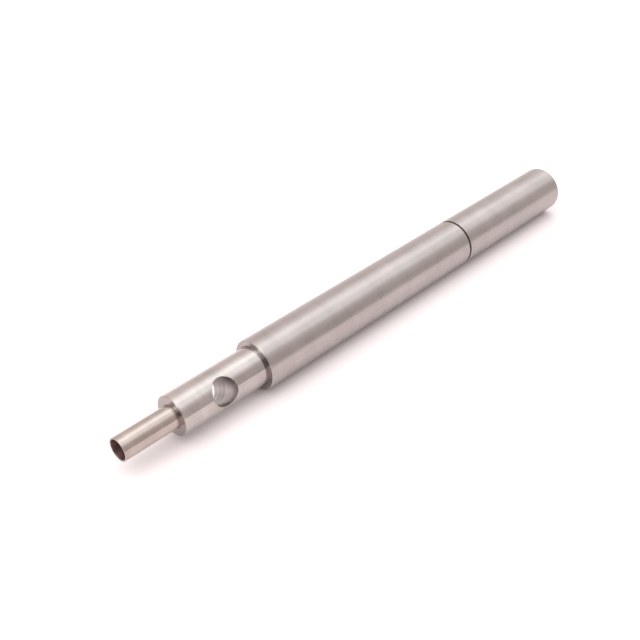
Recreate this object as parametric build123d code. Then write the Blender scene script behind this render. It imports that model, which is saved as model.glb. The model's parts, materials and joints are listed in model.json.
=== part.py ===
"""Turned stainless pin: a long grooved body, a stepped neck with a cross hole, and a hollow spigot.

The pin lies along X on the plane Z = 0, which its body touches. The spigot points to -X.
The origin is on that plane, halfway along the pin. All sizes are in millimetres.
"""

import math
import os

from build123d import *

# Body: the thickest length, from its shoulder to the rear face.
BODY_DIAMETER = 9.0
BODY_LENGTH = 83.5
BODY_EDGE_BREAK = 0.2
REAR_EDGE_RADIUS = 0.4

# Groove round the body, with its centre measured from the shoulder.
GROOVE_FROM_SHOULDER = 52.5
GROOVE_WIDTH = 0.5
GROOVE_DEPTH = 0.5

# Neck: the middle step, between the body and the spigot.
NECK_DIAMETER = 7.0
NECK_LENGTH = 17.0
NECK_EDGE_BREAK = 0.15

# Spigot: the thin-walled tube at the front.
SPIGOT_DIAMETER = 4.0
SPIGOT_LENGTH = 10.0
SPIGOT_WALL = 0.25
SPIGOT_EDGE_BREAK = 0.05

# Cross hole, drilled right through the neck at right angles to the pin.
CROSS_HOLE_DIAMETER = 4.7
CROSS_HOLE_FROM_SHOULDER = 8.7
CROSS_HOLE_TILT = 63.0  # degrees, from straight up towards -Y
CROSS_HOLE_EDGE_BREAK = 0.08

# What the cutting tools leave.
TOOL_NOSE_RADIUS = 0.1  # in each inside corner at the foot of a shoulder
DRILL_POINT_ANGLE = 118.0  # degrees, at the blind end of the bore
TOOL_OVERRUN = 1.0  # how far a cutter starts outside the metal
SURFACE_TOLERANCE = 0.01  # how near to the neck's surface an edge counts as on it

# Worked out from the sizes above.
BODY_RADIUS = BODY_DIAMETER / 2
NECK_RADIUS = NECK_DIAMETER / 2
SPIGOT_RADIUS = SPIGOT_DIAMETER / 2
BORE_RADIUS = SPIGOT_RADIUS - SPIGOT_WALL
CROSS_HOLE_RADIUS = CROSS_HOLE_DIAMETER / 2
TOTAL_LENGTH = SPIGOT_LENGTH + NECK_LENGTH + BODY_LENGTH

# Places along the pin, from the mouth of the spigot at 0.
NECK_FACE = SPIGOT_LENGTH
SHOULDER = NECK_FACE + NECK_LENGTH
CROSS_HOLE_PLACE = SHOULDER - CROSS_HOLE_FROM_SHOULDER
GROOVE_FRONT = SHOULDER + GROOVE_FROM_SHOULDER - GROOVE_WIDTH / 2
GROOVE_REAR = GROOVE_FRONT + GROOVE_WIDTH


def spigot_outline():
    """Half outline of the spigot, from the pin's axis out and back to the neck's face."""
    edge = SPIGOT_EDGE_BREAK
    points = [
        (0, 0),
        (0, SPIGOT_RADIUS - edge),
        (edge, SPIGOT_RADIUS),
        (NECK_FACE - TOOL_NOSE_RADIUS, SPIGOT_RADIUS),
    ]
    corner_end = (NECK_FACE, SPIGOT_RADIUS + TOOL_NOSE_RADIUS)
    return [Polyline(*points), RadiusArc(points[-1], corner_end, TOOL_NOSE_RADIUS)], corner_end


def neck_outline(start):
    """Half outline of the neck, from the foot of its face to the foot of the body's shoulder."""
    edge = NECK_EDGE_BREAK
    points = [
        start,
        (NECK_FACE, NECK_RADIUS - edge),
        (NECK_FACE + edge, NECK_RADIUS),
        (SHOULDER - TOOL_NOSE_RADIUS, NECK_RADIUS),
    ]
    corner_end = (SHOULDER, NECK_RADIUS + TOOL_NOSE_RADIUS)
    return [Polyline(*points), RadiusArc(points[-1], corner_end, TOOL_NOSE_RADIUS)], corner_end


def body_outline(start):
    """Half outline of the body, with its groove, from the shoulder round to the pin's axis."""
    edge = BODY_EDGE_BREAK
    groove_floor = BODY_RADIUS - GROOVE_DEPTH
    side = [
        start,
        (SHOULDER, BODY_RADIUS - edge),
        (SHOULDER + edge, BODY_RADIUS),
        (GROOVE_FRONT, BODY_RADIUS),
        (GROOVE_FRONT, groove_floor),
        (GROOVE_REAR, groove_floor),
        (GROOVE_REAR, BODY_RADIUS),
        (TOTAL_LENGTH - REAR_EDGE_RADIUS, BODY_RADIUS),
    ]
    rear_rim = (TOTAL_LENGTH, BODY_RADIUS - REAR_EDGE_RADIUS)
    rounding = RadiusArc(side[-1], rear_rim, -REAR_EDGE_RADIUS)
    rear_face = Polyline(rear_rim, (TOTAL_LENGTH, 0), (0, 0))
    return [Polyline(*side), rounding, rear_face]


def turned_blank():
    """The outside of the pin, turned about the X axis, with the spigot's mouth at the origin."""
    spigot, neck_start = spigot_outline()
    neck, body_start = neck_outline(neck_start)
    body = body_outline(body_start)
    return revolve(make_face(spigot + neck + body), Axis.X)


def bore_cutter():
    """Drill for the blind bore, which opens in the spigot's mouth and ends in the cross hole."""
    edge = SPIGOT_EDGE_BREAK
    point_length = BORE_RADIUS / math.tan(math.radians(DRILL_POINT_ANGLE / 2))
    mouth_radius = BORE_RADIUS + edge + TOOL_OVERRUN
    outline = Polyline(
        (-TOOL_OVERRUN, 0),
        (-TOOL_OVERRUN, mouth_radius),
        (edge, BORE_RADIUS),
        (CROSS_HOLE_PLACE, BORE_RADIUS),
        (CROSS_HOLE_PLACE + point_length, 0),
        (-TOOL_OVERRUN, 0),
    )
    return revolve(make_face(outline), Axis.X)


def cross_hole_cutter():
    """Drill for the cross hole, which leaves the neck on both sides."""
    drill = Cylinder(CROSS_HOLE_RADIUS, NECK_DIAMETER + 2 * TOOL_OVERRUN)
    return Pos(CROSS_HOLE_PLACE, 0, 0) * Rot(CROSS_HOLE_TILT, 0, 0) * drill


def cross_hole_mouths(solid):
    """The two saddle-shaped edges where the cross hole leaves the neck."""
    mouths = ShapeList()
    for edge in solid.edges():
        start = edge @ 0
        near_hole = abs(start.X - CROSS_HOLE_PLACE) <= CROSS_HOLE_RADIUS + SURFACE_TOLERANCE
        depth = abs(math.hypot(start.Y, start.Z) - NECK_RADIUS)
        if near_hole and depth < SURFACE_TOLERANCE:
            mouths.append(edge)
    return mouths


def turned_pin():
    """The whole pin in its own frame, lying on the plane Z = 0."""
    solid = turned_blank() - cross_hole_cutter()
    solid = chamfer(cross_hole_mouths(solid), CROSS_HOLE_EDGE_BREAK)
    solid = solid - bore_cutter()
    pin = Pos(-TOTAL_LENGTH / 2, 0, BODY_RADIUS) * solid
    pin.label = "turned_pin"
    return pin


def main():
    """Build the pin and write its STEP file."""
    os.makedirs("parts", exist_ok=True)
    pin = turned_pin()
    box = pin.bounding_box()
    print("pin", [round(size, 3) for size in box.size], "mm, volume", round(pin.volume, 2), "mm3")
    export_step(pin, os.path.join("parts", "turned_pin.step"))


if __name__ == "__main__":
    main()
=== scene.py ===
"""Looks of a turned stainless pin: a grooved body, a stepped neck with a cross hole, and a hollow spigot.

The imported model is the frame. The pin is spun afresh at the sizes of that frame, with enough steps for
smooth edges, and each kind of surface on it has its own finish. Shapes are worked out in millimetres
and put in metres at the end.
"""

import json
import logging
import math
from dataclasses import dataclass
from enum import Enum
from typing import Any, ClassVar, NamedTuple

import bmesh
import bpy
from mathutils import Matrix, Vector


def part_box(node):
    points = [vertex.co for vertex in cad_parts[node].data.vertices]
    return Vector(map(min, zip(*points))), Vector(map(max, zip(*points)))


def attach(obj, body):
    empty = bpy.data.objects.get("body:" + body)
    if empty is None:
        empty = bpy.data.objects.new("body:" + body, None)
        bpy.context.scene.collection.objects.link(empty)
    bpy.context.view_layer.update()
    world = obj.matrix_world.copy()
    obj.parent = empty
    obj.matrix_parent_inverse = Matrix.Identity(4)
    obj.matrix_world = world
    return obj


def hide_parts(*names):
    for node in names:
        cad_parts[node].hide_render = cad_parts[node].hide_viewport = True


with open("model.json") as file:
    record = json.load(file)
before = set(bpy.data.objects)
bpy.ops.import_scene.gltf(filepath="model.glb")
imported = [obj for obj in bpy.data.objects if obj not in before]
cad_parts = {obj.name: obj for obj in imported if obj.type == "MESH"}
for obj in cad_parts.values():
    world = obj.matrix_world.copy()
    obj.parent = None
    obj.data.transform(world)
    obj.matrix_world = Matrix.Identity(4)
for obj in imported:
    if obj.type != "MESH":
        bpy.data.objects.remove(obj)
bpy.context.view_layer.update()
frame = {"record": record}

log = logging.getLogger("turned_pin")

MILLIMETRE = 0.001  # in metres
NODE = "turned_pin"
BODY_NAME = "root"

Point = tuple[float, float]
Colour = tuple[float, float, float]
Socket = bpy.types.NodeSocket

REARWARDS = Vector((1.0, 0.0, 0.0))
OPAQUE = 1.0
HALF_TURN = 180.0  # in degrees


class Surface(Enum):
    """The surfaces of the pin that are finished differently, each with its material's index."""

    BODY = 0
    NECK = 1
    SPIGOT = 2
    FACED = 3
    # painted shade: the arc the tool's nose leaves in each inside corner is coloured dark, for the shade
    # there
    CORNER = 4
    EDGE = 5
    BORE = 6
    CROSS_HOLE = 7
    GROOVE = 8


class Lay(Enum):
    """Which way the tool fed as it cut. Its fine lines run across that."""

    ALONG_PIN = 0
    ACROSS_FACE = 1
    ALONG_CROSS_HOLE = 2


class Ring(Enum):
    """The rings round the cross hole's drill at one of the mouths, from inside the pin outwards."""

    WALL_END = 0
    RIM = 1  # the outer side of the broken edge, on the neck's surface
    PAST_RIM = 2  # as far again on the same slope
    TIP = 3


# ---------------------------------------------------------------- meshes


def in_scene(
    name: str, shape: bmesh.types.BMesh, materials: list[bpy.types.Material]
) -> bpy.types.Object:
    """Put a shape in the scene as an object with its materials.

    Args:
        name: the object's name.
        shape: the shape, which is freed.
        materials: its materials, in the order of its faces' indices.

    Returns:
        The object.
    """
    mesh = bpy.data.meshes.new(name)
    shape.to_mesh(mesh)
    shape.free()
    for material in materials:
        mesh.materials.append(material)
    thing = bpy.data.objects.new(name, mesh)
    bpy.context.scene.collection.objects.link(thing)
    return thing


def with_modifiers(thing: bpy.types.Object, name: str) -> bpy.types.Mesh:
    """Apply an object's modifiers.

    Args:
        thing: the object.
        name: a name for the new mesh.

    Returns:
        A new mesh, with the modifiers applied.
    """
    bpy.context.view_layer.update()
    graph = bpy.context.evaluated_depsgraph_get()
    mesh = bpy.data.meshes.new_from_object(thing.evaluated_get(graph))
    mesh.name = name
    return mesh


def quarter_turn(steps: int) -> list[Point]:
    """Sine and cosine over a quarter turn, in even steps."""
    turns = [math.pi / 2 * step / steps for step in range(steps + 1)]
    return [(math.sin(turn), math.cos(turn)) for turn in turns]


# ---------------------------------------------------------------- shape


@dataclass(frozen=True)
class PinSizes:
    """Sizes of the pin in millimetres. Places are measured along it from the spigot's mouth."""

    length: float
    axis_height: float
    body_radius: float
    shoulder: float
    groove_front: float
    groove_rear: float
    rear_edge_start: float
    spigot_radius: float
    bore_radius: float
    cross_hole_radius: float
    cross_hole_place: float
    cross_hole_axis: Vector
    neck_face: float
    neck_radius: float
    groove_depth: float = 0.5
    body_edge_break: float = 0.2
    neck_edge_break: float = 0.15
    spigot_edge_break: float = 0.05
    cross_hole_edge_break: float = 0.08
    tool_nose_radius: float = 0.1
    drill_point_angle: float = math.radians(118.0)

    @classmethod
    def from_frame(cls, record: dict[str, Any]) -> "PinSizes":
        """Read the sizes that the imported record's mounts give.

        Args:
            record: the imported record.

        Returns:
            The sizes of the pin.
        """
        low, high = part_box(NODE)
        mounts = {mount["name"]: mount for mount in record["mounts"]}

        def place(name: str, end: int = 0) -> float:
            """Place of a mount along the pin, or of one end of its wall where end is -1 or 1."""
            middle = (mounts[name]["pos_m"][0] - low.x) / MILLIMETRE
            return middle + end * wall(name) / 2

        def wall(name: str) -> float:
            """Length of a mount's round wall, which is 0 on a flat face."""
            return mounts[name]["dims"].get("length_mm", 0.0)

        def radius(name: str) -> float:
            """Radius of a mount."""
            return mounts[name]["dims"]["r_mm"]

        return cls(
            length=(high.x - low.x) / MILLIMETRE,
            axis_height=mounts["body"]["pos_m"][2] / MILLIMETRE,
            body_radius=radius("body"),
            shoulder=place("shoulder"),
            groove_front=place("body", 1),
            groove_rear=place("tail", -1),
            rear_edge_start=place("tail", 1),
            spigot_radius=radius("spigot"),
            bore_radius=radius("spigot_bore"),
            cross_hole_radius=radius("cross_hole"),
            cross_hole_place=place("cross_hole"),
            cross_hole_axis=Vector(mounts["cross_hole"]["axis"]).normalized(),
            neck_face=place("spigot", 1) + cls.tool_nose_radius,
            neck_radius=wall("cross_hole") / 2 + cls.cross_hole_edge_break,
        )


@dataclass
class TurnedPin:
    """The pin: a half outline spun about its axis, with a bore, and a cross hole cut through the neck.

    Lengths are in millimetres.
    """

    sizes: PinSizes
    steps: int = 256
    hole_steps: int = 160
    nose_steps: int = 4
    rear_steps: int = 8
    sharp_angle: float = math.radians(25.0)
    overrun: float = 1.0  # how far the drill reaches past the neck
    weld: float = 0.0004
    flat: float = 0.9  # how square to the pin's axis a face is, at least, to count as faced
    sloped: float = 0.25  # and how far out of line with the axis, to count as an edge

    def build(self, materials: list[bpy.types.Material]) -> bpy.types.Object:
        """Make the pin's mesh in the frame's own place.

        Args:
            materials: one material for each Surface, in its order.

        Returns:
            The finished pin.
        """
        blank = in_scene("blank", self.spun_blank(), materials)
        cutter = in_scene("cross_hole_cutter", self.cross_hole_cutter(), materials)
        cut = blank.modifiers.new("cross hole", "BOOLEAN")
        cut.operation = "DIFFERENCE"
        cut.solver = "EXACT"
        cut.object = cutter
        drilled = with_modifiers(blank, "turned_pin_drilled")
        for spent in (blank, cutter):
            bpy.data.objects.remove(spent)
        self.clean(drilled)
        pin = bpy.data.objects.new("turned_pin_finished", drilled)
        bpy.context.scene.collection.objects.link(pin)
        weights = pin.modifiers.new("face weights", "WEIGHTED_NORMAL")
        weights.keep_sharp = True
        pin.data = with_modifiers(pin, "turned_pin_finished")
        pin.modifiers.clear()
        return pin

    def half_outline(self) -> list[Point]:
        """Half outline of the pin with its bore, from the drill's point round to the rear centre.

        Returns:
            Points of place along the pin and distance from its axis.
        """
        s = self.sizes
        drill_point = s.bore_radius / math.tan(s.drill_point_angle / 2)
        mouth = s.spigot_edge_break
        groove_floor = s.body_radius - s.groove_depth
        return [
            (s.cross_hole_place + drill_point, 0.0),
            (s.cross_hole_place, s.bore_radius),
            (mouth, s.bore_radius),
            (0.0, s.bore_radius + mouth),
            (0.0, s.spigot_radius - mouth),
            (mouth, s.spigot_radius),
            *self.inside_corner(s.neck_face, s.spigot_radius),
            (s.neck_face, s.neck_radius - s.neck_edge_break),
            (s.neck_face + s.neck_edge_break, s.neck_radius),
            *self.inside_corner(s.shoulder, s.neck_radius),
            (s.shoulder, s.body_radius - s.body_edge_break),
            (s.shoulder + s.body_edge_break, s.body_radius),
            (s.groove_front, s.body_radius),
            (s.groove_front, groove_floor),
            (s.groove_rear, groove_floor),
            (s.groove_rear, s.body_radius),
            *self.rear_edge(),
            (s.length, 0.0),
        ]

    def inside_corner(self, face: float, radius: float) -> list[Point]:
        """Arc that the tool's nose leaves where a cylinder meets the face of the next step.

        Args:
            face: place of the face along the pin.
            radius: radius of the cylinder.

        Returns:
            Points of the arc, from the cylinder to the face.
        """
        nose = self.sizes.tool_nose_radius
        return [
            (face - nose + nose * sine, radius + nose - nose * cosine)
            for sine, cosine in quarter_turn(self.nose_steps)
        ]

    def rear_edge(self) -> list[Point]:
        """Round the rim of the rear face.

        Returns:
            Points of the arc, from the body to the face.
        """
        s = self.sizes
        rounding = s.length - s.rear_edge_start
        return [
            (s.rear_edge_start + rounding * sine, s.body_radius - rounding + rounding * cosine)
            for sine, cosine in quarter_turn(self.rear_steps)
        ]

    def spun_blank(self) -> bmesh.types.BMesh:
        """Spin the pin without its cross hole, about the X axis, with its mouth at the origin.

        Returns:
            The blank.
        """
        blank = bmesh.new()
        verts = [blank.verts.new((place, 0.0, out)) for place, out in self.half_outline()]
        edges = [blank.edges.new(pair) for pair in zip(verts, verts[1:])]
        bmesh.ops.spin(
            blank,
            geom=verts + edges,
            cent=(0.0, 0.0, 0.0),
            axis=REARWARDS,
            angle=math.tau,
            steps=self.steps,
            use_merge=True,
        )
        bmesh.ops.remove_doubles(blank, verts=blank.verts, dist=self.weld)
        bmesh.ops.recalc_face_normals(blank, faces=blank.faces)
        for face in blank.faces:
            face.material_index = self.surface_of(face).value
        return blank

    def surface_of(self, face: bmesh.types.BMFace) -> Surface:
        """Which surface of the blank a face belongs to.

        Args:
            face: a face of the blank.

        Returns:
            Its surface.
        """
        s = self.sizes
        centre = face.calc_center_median()
        out = centre.yz.length
        outward = Vector((0.0, centre.y, centre.z)).normalized()
        faces_inwards = face.normal.dot(outward) < -self.sloped
        if centre.x < s.shoulder and (faces_inwards or out < s.bore_radius):
            return Surface.BORE
        for step, foot in ((s.neck_face, s.spigot_radius), (s.shoulder, s.neck_radius)):
            if step - s.tool_nose_radius < centre.x < step and foot < out < foot + s.tool_nose_radius:
                return Surface.CORNER
        if s.groove_front - self.weld < centre.x < s.groove_rear + self.weld and out < s.body_radius:
            return Surface.GROOVE
        if abs(face.normal.x) > self.flat:
            return Surface.FACED
        if abs(face.normal.x) > self.sloped:
            return Surface.EDGE
        if centre.x > s.shoulder:
            return Surface.BODY
        return Surface.NECK if centre.x > s.neck_face else Surface.SPIGOT

    def cross_hole_cutter(self) -> bmesh.types.BMesh:
        """Make a drill with a flare at each end that breaks the hole's edges, in place on the pin.

        Its side rises ring by ring along the hole. Each ring follows the neck's round surface.

        Returns:
            The drill.
        """
        s = self.sizes
        cutter = bmesh.new()
        first = bmesh.ops.create_circle(
            cutter, cap_ends=False, segments=self.hole_steps, radius=s.cross_hole_radius
        )
        edges = cutter.edges[:]
        verts = first["verts"]
        sides = [(-1, ring) for ring in reversed(Ring)] + [(1, ring) for ring in Ring]
        for side, ring in sides:
            if (side, ring) != sides[0]:
                grown = bmesh.ops.extrude_edge_only(cutter, edges=edges)["geom"]
                edges = [part for part in grown if isinstance(part, bmesh.types.BMEdge)]
                verts = [part for part in grown if isinstance(part, bmesh.types.BMVert)]
            for vert in verts:
                turn = math.atan2(vert.co.y, vert.co.x)
                out, height = self.drill_ring(ring, turn)
                vert.co = (out * math.cos(turn), out * math.sin(turn), side * height)
        bmesh.ops.holes_fill(cutter, edges=cutter.edges, sides=0)
        bmesh.ops.recalc_face_normals(cutter, faces=cutter.faces)
        for face in cutter.faces:
            face.material_index = self.hole_surface(face).value
        along = s.cross_hole_axis
        turned = Matrix((REARWARDS, along.cross(REARWARDS), along)).transposed().to_4x4()
        placed = Matrix.Translation((s.cross_hole_place, 0.0, 0.0)) @ turned
        bmesh.ops.transform(cutter, matrix=placed, verts=cutter.verts)
        return cutter

    def drill_ring(self, ring: Ring, turn: float) -> Point:
        """Work out a point on one of the drill's rings.

        Args:
            ring: the ring.
            turn: how far round the hole the point is, from the pin's rear end.

        Returns:
            Its distance from the hole's axis, and its height over the pin's axis.
        """
        s = self.sizes
        edge = s.cross_hole_edge_break
        wall_end = (s.cross_hole_radius, self.neck_height(s.cross_hole_radius, turn) - edge)
        rim = (s.cross_hole_radius + edge, self.neck_height(s.cross_hole_radius + edge, turn))
        past_rim = (2 * rim[0] - wall_end[0], 2 * rim[1] - wall_end[1])
        tip = (past_rim[0], s.neck_radius + self.overrun)
        points = {Ring.WALL_END: wall_end, Ring.RIM: rim, Ring.PAST_RIM: past_rim, Ring.TIP: tip}
        return points[ring]

    def neck_height(self, out: float, turn: float) -> float:
        """Height of the neck's surface over the pin's axis, at a distance and turn about the hole."""
        return math.sqrt(self.sizes.neck_radius**2 - (out * math.sin(turn)) ** 2)

    def hole_surface(self, face: bmesh.types.BMFace) -> Surface:
        """Which surface a face of the drill leaves: the drilled wall or its broken edge."""
        outside = face.calc_center_median().xy.length > self.sizes.cross_hole_radius
        return Surface.EDGE if outside else Surface.CROSS_HOLE

    def clean(self, mesh: bpy.types.Mesh) -> None:
        """Weld what the cut leaves apart, mark the sharp edges and put the pin in the frame's place.

        Args:
            mesh: the drilled pin, in millimetres, changed in place.
        """
        pin = bmesh.new()
        pin.from_mesh(mesh)
        bmesh.ops.remove_doubles(pin, verts=pin.verts, dist=self.weld)
        bmesh.ops.dissolve_degenerate(pin, edges=pin.edges, dist=self.weld)
        bmesh.ops.recalc_face_normals(pin, faces=pin.faces)
        for face in pin.faces:
            face.smooth = True
        for edge in pin.edges:
            edge.smooth = len(edge.link_faces) == 2 and edge.calc_face_angle() < self.sharp_angle
        s = self.sizes
        bmesh.ops.translate(pin, vec=(-s.length / 2, 0.0, s.axis_height), verts=pin.verts)
        bmesh.ops.scale(pin, vec=(MILLIMETRE,) * 3, verts=pin.verts)
        pin.to_mesh(mesh)
        pin.free()


# ---------------------------------------------------------------- finishes


class Nodes:
    """Short ways to add and join the nodes of one tree."""

    def __init__(self, tree: bpy.types.NodeTree) -> None:
        """Start on an empty tree."""
        self.tree = tree
        tree.nodes.clear()

    def add(self, kind: str, **settings: Any) -> bpy.types.Node:
        """Add a node.

        Args:
            kind: the node's type.
            settings: what its properties are set to.

        Returns:
            The node.
        """
        node = self.tree.nodes.new(kind)
        for name, value in settings.items():
            setattr(node, name, value)
        return node

    def feed(self, socket: Socket, value: Any) -> None:
        """Join an output to a socket, or set a plain value on it.

        Args:
            socket: the socket.
            value: the output or the value.
        """
        if isinstance(value, Socket):
            self.tree.links.new(value, socket)
        else:
            socket.default_value = value

    def maths(self, operation: str, *values: Any) -> Socket:
        """Work out a number.

        Args:
            operation: the Math node's operation.
            values: the numbers or outputs that it works on.

        Returns:
            The output.
        """
        node = self.add("ShaderNodeMath", operation=operation)
        for socket, value in zip(node.inputs, values):
            self.feed(socket, value)
        return node.outputs[0]

    def vector(self, operation: str, *values: Any) -> bpy.types.Node:
        """Work out a vector or, as a length or a dot product, a number.

        Args:
            operation: the Vector Math node's operation.
            values: the vectors or outputs that it works on.

        Returns:
            The node, because some operations have their output under Value.
        """
        node = self.add("ShaderNodeVectorMath", operation=operation)
        for socket, value in zip(node.inputs, values):
            self.feed(socket, value)
        return node

    def along(self, place: Socket, direction: Any) -> Socket:
        """How far a place lies along a direction."""
        return self.vector("DOT_PRODUCT", place, direction).outputs["Value"]

    def scale(self, vector: Any, factor: Any) -> Socket:
        """Scale a vector.

        Args:
            vector: the vector.
            factor: the number or output that it is multiplied by.

        Returns:
            The output.
        """
        node = self.vector("SCALE", vector)
        self.feed(node.inputs["Scale"], factor)
        return node.outputs[0]

    def average(self, *values: Socket) -> Socket:
        """Work out the mean of some outputs.

        Args:
            values: the outputs.

        Returns:
            The mean.
        """
        total = values[0]
        for value in values[1:]:
            total = self.maths("ADD", total, value)
        return self.maths("DIVIDE", total, float(len(values)))

    def noise(self, at: Socket, detail: float, roughness: float = 0.5) -> Socket:
        """Read a noise of scale 1.

        Args:
            at: the place to read it at, already scaled.
            detail: how many finer layers it has.
            roughness: how strong those are.

        Returns:
            The noise, mostly between 0.4 and 0.6.
        """
        node = self.add("ShaderNodeTexNoise")
        self.feed(node.inputs["Vector"], at)
        for name, value in (("Scale", 1.0), ("Detail", detail), ("Roughness", roughness)):
            self.feed(node.inputs[name], value)
        return node.outputs["Fac"]

    def spread(
        self, value: Socket, low: float, high: float, to_low: float = 0.0, to_high: float = 1.0
    ) -> Socket:
        """Spread a range of values over another, with no value past its ends.

        Args:
            value: the output to spread.
            low: where the first range starts.
            high: where it ends.
            to_low: where the second range starts.
            to_high: where it ends.

        Returns:
            The output.
        """
        node = self.add("ShaderNodeMapRange")
        names = ("Value", "From Min", "From Max", "To Min", "To Max")
        for name, given in zip(names, (value, low, high, to_low, to_high)):
            self.feed(node.inputs[name], given)
        return node.outputs["Result"]

    def blend(self, amount: Socket, first: Any, second: Any) -> Socket:
        """Blend two colours.

        Args:
            amount: how much of the second colour there is.
            first: the first colour, or an output.
            second: the second colour, or an output.

        Returns:
            The colour.
        """
        node = self.add("ShaderNodeMix", data_type="RGBA")
        self.feed(node.inputs["Factor"], amount)
        colour_sockets = [socket for socket in node.inputs if socket.type == "RGBA"]
        for socket, colour in zip(colour_sockets, (first, second)):
            self.feed(socket, colour if isinstance(colour, Socket) else (*colour, OPAQUE))
        return next(socket for socket in node.outputs if socket.type == "RGBA")

    def bump(self, height: Socket, depth: float) -> Socket:
        """Turn a height into a normal.

        Args:
            height: the height, from 0 to 1.
            depth: how deep it goes, in metres.

        Returns:
            The normal.
        """
        node = self.add("ShaderNodeBump")
        self.feed(node.inputs["Distance"], depth)
        self.feed(node.inputs["Height"], height)
        return node.outputs["Normal"]

    def place(self) -> Socket:
        """Where a point lies on the piece, in metres."""
        return self.add("ShaderNodeTexCoord").outputs["Object"]

    def fixed(self, direction: Vector) -> Socket:
        """Give a direction that is the same everywhere.

        Args:
            direction: the direction.

        Returns:
            The output.
        """
        node = self.add("ShaderNodeCombineXYZ")
        for socket, value in zip(node.inputs, direction):
            self.feed(socket, value)
        return node.outputs[0]

    def finish(self, shader: bpy.types.Node, kind: str = "ShaderNodeOutputMaterial") -> None:
        """Join a shader to the tree's output."""
        self.feed(self.add(kind).inputs["Surface"], shader.outputs[0])


def from_pin_axis(nodes: Nodes, sizes: PinSizes) -> Socket:
    """Where a point lies from the middle of the pin's axis."""
    middle = (0.0, 0.0, sizes.axis_height * MILLIMETRE)
    return nodes.vector("SUBTRACT", nodes.place(), middle).outputs[0]


def off_axis(nodes: Nodes, place: Socket) -> Socket:
    """The part of a place that lies square to the pin's axis."""
    return nodes.vector("MULTIPLY", place, (0.0, 1.0, 1.0)).outputs[0]


class ToolPath(NamedTuple):
    """Where a point lies for the tool that cut it, as outputs of a material's nodes."""

    place: Socket  # from the middle of the axis that the tool cut about
    travel: Socket  # how far along the feed
    direction: Socket  # the feed's direction


@dataclass(frozen=True)
class Grain:
    """A noise drawn out along a tool's feed or across it."""

    frequency: float  # along the feed, in turns per metre
    cross_share: float  # and across it, as a share of that
    detail: float
    roughness: float = 0.5

    def noise(self, nodes: Nodes, path: ToolPath) -> Socket:
        """Read the noise on a surface.

        Args:
            nodes: the material's nodes.
            path: where the surface lies for its tool.

        Returns:
            The noise.
        """
        even = nodes.scale(path.place, self.frequency * self.cross_share)
        further = nodes.maths("MULTIPLY", path.travel, self.frequency * (1.0 - self.cross_share))
        drawn_out = nodes.vector("ADD", even, nodes.scale(path.direction, further)).outputs[0]
        return nodes.noise(drawn_out, self.detail, self.roughness)


@dataclass(frozen=True)
class SteelFinish:
    """A finish of bare stainless steel, with the fine lines that the tool left across its feed.

    Depths are in metres. A swing is how far a value goes to each side.
    """

    name: str
    surface: Surface
    colour: Colour
    lay: Lay = Lay.ALONG_PIN
    colour_swing: float = 0.07
    roughness: float = 0.26
    roughness_swing: float = 0.03
    anisotropy: float = 0.75
    lines: Grain = Grain(5200.0, 0.01, 2.0)
    line_depth: float = 0.6e-6
    bands: Grain = Grain(420.0, 0.15, 3.0)
    streaks: Grain = Grain(55.0, 20.0, 2.0)
    mottle: Grain = Grain(260.0, 1.0, 4.0, 0.6)
    tone_low: float = 0.4  # the mean of the noises where both swings are at their lowest
    tone_high: float = 0.6  # and at their highest

    def material(self, sizes: PinSizes) -> bpy.types.Material:
        """Make the finish's material.

        Args:
            sizes: the pin's sizes, for the axes that the lines run round.

        Returns:
            The material.
        """
        made = bpy.data.materials.new(self.name)
        made.use_nodes = True
        nodes = Nodes(made.node_tree)
        path = self.tool_path(nodes, sizes)
        grains = (self.bands, self.streaks, self.mottle)
        tone = nodes.average(*(grain.noise(nodes, path) for grain in grains))
        dark, pale = (
            tuple(channel * (1 + side * self.colour_swing) for channel in self.colour) for side in (-1, 1)
        )
        even = nodes.spread(tone, self.tone_low, self.tone_high)
        colour = self.shaded(nodes, nodes.blend(even, dark, pale), path, sizes)
        ends = (self.roughness - self.roughness_swing, self.roughness + self.roughness_swing)
        shader = nodes.add("ShaderNodeBsdfPrincipled")
        for name, value in (
            ("Metallic", 1.0),
            ("Anisotropic", self.anisotropy),
            ("Base Color", colour),
            ("Roughness", nodes.spread(tone, self.tone_low, self.tone_high, *ends)),
            ("Tangent", path.direction),
            ("Normal", nodes.bump(self.lines.noise(nodes, path), self.line_depth)),
        ):
            nodes.feed(shader.inputs[name], value)
        nodes.finish(shader)
        return made

    def shaded(self, nodes: Nodes, colour: Socket, path: ToolPath, sizes: PinSizes) -> Socket:
        """The colour with what darkens it in places, which is nothing on a turned surface."""
        return colour

    def tool_path(self, nodes: Nodes, sizes: PinSizes) -> ToolPath:
        """Work out how the tool moved over the surface.

        Args:
            nodes: the material's nodes.
            sizes: the pin's sizes.

        Returns:
            Where a point lies for the tool.
        """
        if self.lay is Lay.ALONG_CROSS_HOLE:
            along = sizes.cross_hole_place - sizes.length / 2
            middle = Vector((along, 0.0, sizes.axis_height)) * MILLIMETRE
            at = nodes.vector("SUBTRACT", nodes.place(), tuple(middle)).outputs[0]
            direction = nodes.fixed(sizes.cross_hole_axis)
            return ToolPath(at, nodes.along(at, direction), direction)
        at = from_pin_axis(nodes, sizes)
        if self.lay is Lay.ACROSS_FACE:
            radial = off_axis(nodes, at)
            direction = nodes.vector("NORMALIZE", radial).outputs[0]
            return ToolPath(at, nodes.vector("LENGTH", radial).outputs["Value"], direction)
        direction = nodes.fixed(REARWARDS)
        return ToolPath(at, nodes.along(at, direction), direction)


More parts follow.
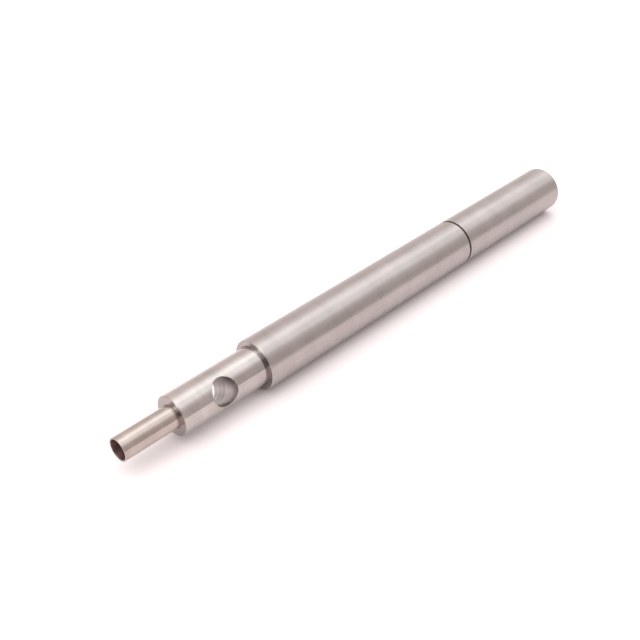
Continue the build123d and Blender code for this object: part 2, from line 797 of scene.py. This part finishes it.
@dataclass(frozen=True)
class DrilledFinish(SteelFinish):
    """The finish of the cross hole, ringed by the drill's lips, with painted shade near one mouth and down
    one side.

    The painted shade darkens the wall round one mouth, and down one side of the hole.
    """

    colour: Colour = (0.46, 0.435, 0.425)
    lay: Lay = Lay.ALONG_CROSS_HOLE
    lines: Grain = Grain(1700.0, 0.01, 2.0)
    line_depth: float = 7e-6
    rings: Grain = Grain(3600.0, 0.02, 1.0)
    ring_low: float = 0.40  # the rings' noise where they are darkest
    ring_high: float = 0.52  # and where the wall is clear of them
    ring: Colour = (0.34, 0.315, 0.31)
    # painted shade on the drilled wall, near one mouth and down one side
    painted_shade: Colour = (0.19, 0.165, 0.16)
    painted_shade_depth: float = 0.05  # in millimetres under the neck's surface, and so is its fade
    painted_shade_fade: float = 1.3
    painted_shade_turn: float = math.radians(52.0)  # which side the painted shade is on, from the pin's rear end, round the hole
    painted_shade_least: float = 0.30  # where the painted shade starts on that side, as a share of the hole's radius
    painted_shade_most: float = 0.85

    def shaded(self, nodes: Nodes, colour: Socket, path: ToolPath, sizes: PinSizes) -> Socket:
        """Add the rings and the painted shade.

        Args:
            nodes: the material's nodes.
            colour: the wall's plain colour.
            path: where the wall lies for the drill.
            sizes: the pin's sizes.

        Returns:
            The colour.
        """
        rings = nodes.spread(self.rings.noise(nodes, path), self.ring_low, self.ring_high)
        ringed = nodes.blend(rings, self.ring, colour)
        # painted shade: darker towards one mouth, and down one side of the hole
        radial = off_axis(nodes, from_pin_axis(nodes, sizes))
        dark_from = (sizes.neck_radius - self.painted_shade_depth) * MILLIMETRE
        clear_to = dark_from - self.painted_shade_fade * MILLIMETRE
        near_mouth = nodes.spread(nodes.vector("LENGTH", radial).outputs["Value"], clear_to, dark_from)
        shade_at_mouth = nodes.maths("MULTIPLY", near_mouth, nodes.maths("GREATER_THAN", path.travel, 0.0))
        upwards = sizes.cross_hole_axis.cross(REARWARDS)
        painted_shade_direction = REARWARDS * math.cos(self.painted_shade_turn) + upwards * math.sin(self.painted_shade_turn)
        radius = sizes.cross_hole_radius * MILLIMETRE
        depth = nodes.along(path.place, tuple(painted_shade_direction))
        side = nodes.spread(depth, self.painted_shade_least * radius, self.painted_shade_most * radius)
        return nodes.blend(nodes.maths("MAXIMUM", shade_at_mouth, side), ringed, self.painted_shade)


# ---------------------------------------------------------------- studio


@dataclass(frozen=True)
class Glow:
    """How bright the tent is at one angle from the near edge of the floor, over the top to the far edge.

    The tent has one radiance towards the pin's rear end and another towards its front.
    """

    angle: float  # in degrees
    rear: float
    front: float
    tint: Colour = (1.0, 1.0, 1.0)


@dataclass(frozen=True)
class Studio:
    """A pale floor with a faint painted glow, dimmed near the pin as painted shade, in a light tent that
    is darker on the near side.

    Sizes are in metres.
    """

    floor_size: float = 6.0
    floor_colour: Colour = (0.69, 0.60, 0.60)
    floor_roughness: float = 0.9
    floor_shine: float = 0.1
    floor_glow: Colour = (0.37, 0.38, 0.38)
    shade_reach: float = 0.008  # nearer than this, the pin dims the floor's glow
    shade_ease: float = 0.38  # under 1, the glow comes back quickly away from the pin
    contact_reach: float = 0.0019  # and nearer than this, it dims it more
    contact_ease: float = 0.6
    tooth_frequency: float = 2600.0  # in turns per metre
    tooth_detail: float = 3.0
    tooth_depth: float = 12e-6
    warm: ClassVar[Colour] = (1.0, 0.91, 0.885)
    glows: tuple[Glow, ...] = (
        Glow(0.0, 0.74, 0.40, warm),
        Glow(12.0, 0.70, 0.30, warm),
        Glow(32.0, 0.74, 0.30, warm),
        Glow(45.0, 0.90, 0.40, warm),
        Glow(55.0, 1.12, 0.70),
        Glow(63.0, 1.50, 1.10),
        Glow(82.0, 1.62, 1.40),
        Glow(94.0, 2.05, 3.00),
        Glow(106.0, 2.05, 3.00),
        Glow(119.0, 1.50, 1.50),
        Glow(136.0, 1.13, 1.00, warm),
        Glow(180.0, 1.00, 0.90, warm),
    )
    rear_from: float = 0.15  # the X of the directions in which the tent has its rear radiance, at least
    front_to: float = -0.35  # and its front radiance, at most
    end_wall: Colour = (1.12, 1.06, 1.04)  # the even glow of the wall behind the pin's rear end
    end_wall_share: float = 0.38
    end_wall_reach: tuple[float, float] = (0.58, 0.80)
    camera_place: tuple[float, float, float] = (-0.10631, -0.08955, 0.09977)
    camera_aim: tuple[float, float, float] = (-0.01182, 0.00097, 0.0045)
    lens: float = 52.76  # in millimetres, and so is the sensor
    sensor: float = 36.0
    clip_start: float = 0.001

    def set_up(self) -> None:
        """Make the floor, the light and the camera."""
        self.floor()
        self.tent()
        bpy.context.scene.camera = self.camera()
        bpy.context.scene.view_settings.view_transform = "Standard"

    def floor(self) -> bpy.types.Object:
        """Lay the floor, a wide sheet of matt white card.

        Returns:
            The floor.
        """
        sheet = bmesh.new()
        bmesh.ops.create_grid(sheet, x_segments=1, y_segments=1, size=self.floor_size / 2)
        return in_scene("floor", sheet, [self.card()])

    def card(self) -> bpy.types.Material:
        """Make matt white card with a faint tooth and a painted glow, with painted shade where something
        stands close over it.

        Returns:
            The material.
        """
        made = bpy.data.materials.new("white_card")
        made.use_nodes = True
        nodes = Nodes(made.node_tree)
        # painted shadow: the floor's glow is dimmed where the pin stands close over it
        wide = nodes.maths("POWER", self.openness(nodes, self.shade_reach), self.shade_ease)
        close = nodes.maths("POWER", self.openness(nodes, self.contact_reach), self.contact_ease)
        tooth = nodes.noise(nodes.scale(nodes.place(), self.tooth_frequency), self.tooth_detail)
        shader = nodes.add("ShaderNodeBsdfPrincipled")
        for name, value in (
            ("Base Color", (*self.floor_colour, OPAQUE)),
            ("Roughness", self.floor_roughness),
            ("Specular IOR Level", self.floor_shine),
            ("Emission Color", (*self.floor_glow, OPAQUE)),
            ("Emission Strength", nodes.maths("MULTIPLY", wide, close)),
            ("Normal", nodes.bump(tooth, self.tooth_depth)),
        ):
            nodes.feed(shader.inputs[name], value)
        nodes.finish(shader)
        return made

    def openness(self, nodes: Nodes, reach: float) -> Socket:
        """Work out how open the floor is to its surroundings.

        Args:
            nodes: the floor's nodes.
            reach: how far a thing is, at most, to count.

        Returns:
            The openness, from 0 to 1.
        """
        node = nodes.add("ShaderNodeAmbientOcclusion")
        nodes.feed(node.inputs["Distance"], reach)
        return node.outputs["AO"]

    def tent(self) -> None:
        """Light the scene from the tent's walls, which change round the pin's axis and along it."""
        made = bpy.data.worlds.new("tent")
        made.use_nodes = True
        nodes = Nodes(made.node_tree)
        towards = nodes.add("ShaderNodeTexCoord").outputs["Generated"]
        parts = nodes.add("ShaderNodeSeparateXYZ")
        nodes.feed(parts.inputs["Vector"], towards)
        near = nodes.maths("MULTIPLY", parts.outputs["Y"], -1.0)
        turn = nodes.maths("ARCTAN2", parts.outputs["Z"], near)
        round_axis = nodes.maths("DIVIDE", turn, math.pi)
        brightest = max(max(glow.rear, glow.front) for glow in self.glows)
        rear = self.ramp(nodes, round_axis, [glow.rear / brightest for glow in self.glows])
        front = self.ramp(nodes, round_axis, [glow.front / brightest for glow in self.glows])
        to_rear = nodes.spread(parts.outputs["X"], self.front_to, self.rear_from)
        sides = nodes.blend(to_rear, front, rear)
        to_end = nodes.spread(parts.outputs["X"], *self.end_wall_reach, 0.0, self.end_wall_share)
        end_wall = tuple(channel / brightest for channel in self.end_wall)
        walls = nodes.add("ShaderNodeBackground")
        nodes.feed(walls.inputs["Color"], nodes.blend(to_end, sides, end_wall))
        nodes.feed(walls.inputs["Strength"], brightest)
        nodes.finish(walls, "ShaderNodeOutputWorld")
        bpy.context.scene.world = made

    def ramp(self, nodes: Nodes, round_axis: Socket, shares: list[float]) -> Socket:
        """Work out the tent's colours from its near edge to its far edge.

        Args:
            nodes: the world's nodes.
            round_axis: how far round the tent, from 0 to 1.
            shares: how bright each glow is, as a share of the brightest.

        Returns:
            The colour.
        """
        ramp = nodes.add("ShaderNodeValToRGB")
        nodes.feed(ramp.inputs["Fac"], round_axis)
        stops = ramp.color_ramp.elements
        while len(stops) < len(self.glows):
            stops.new(1.0)
        for stop, glow, share in zip(stops, self.glows, shares):
            stop.position = glow.angle / HALF_TURN
            stop.color = (*(channel * share for channel in glow.tint), OPAQUE)
        return ramp.outputs["Color"]

    def camera(self) -> bpy.types.Object:
        """Make the camera, level and aimed at the pin.

        Returns:
            The camera.
        """
        lens = bpy.data.cameras.new("camera")
        lens.lens = self.lens
        lens.sensor_width = self.sensor
        lens.clip_start = self.clip_start
        eye = bpy.data.objects.new("camera", lens)
        aim = Vector(self.camera_aim) - Vector(self.camera_place)
        eye.rotation_euler = aim.to_track_quat("-Z", "Y").to_euler()
        eye.location = self.camera_place
        bpy.context.scene.collection.objects.link(eye)
        return eye


FINISHES = (
    SteelFinish("turned_body", Surface.BODY, (0.42, 0.385, 0.375), roughness=0.28),
    SteelFinish("turned_neck", Surface.NECK, (0.475, 0.435, 0.418), colour_swing=0.10, roughness=0.15),
    SteelFinish("turned_spigot", Surface.SPIGOT, (0.475, 0.412, 0.376), colour_swing=0.10, roughness=0.18),
    SteelFinish("faced_steps", Surface.FACED, (0.40, 0.36, 0.345), Lay.ACROSS_FACE, roughness=0.20),
    # painted shade: a dark colour on the inside corners, where shade falls
    SteelFinish("inside_corners_painted_shade", Surface.CORNER, (0.20, 0.17, 0.16), roughness=0.45),
    SteelFinish("broken_edges", Surface.EDGE, (0.44, 0.405, 0.395), roughness=0.35, anisotropy=0.3),
    SteelFinish("bored_hole", Surface.BORE, (0.44, 0.29, 0.27), roughness=0.45, anisotropy=0.4),
    DrilledFinish("drilled_cross_hole", Surface.CROSS_HOLE),
    SteelFinish("parted_groove", Surface.GROOVE, (0.42, 0.37, 0.355), roughness=0.35, anisotropy=0.3),
)


def main() -> None:
    """Build the pin and its studio around the frame."""
    logging.basicConfig(level=logging.INFO, format="%(message)s")
    sizes = PinSizes.from_frame(frame["record"])
    Studio().set_up()
    finishes = {finish.surface: finish for finish in FINISHES}
    pin = TurnedPin(sizes).build([finishes[surface].material(sizes) for surface in Surface])
    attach(pin, BODY_NAME)
    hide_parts(NODE)
    log.info("turned_pin: %d vertices, %d faces", len(pin.data.vertices), len(pin.data.polygons))


if __name__ == "__main__":
    main()
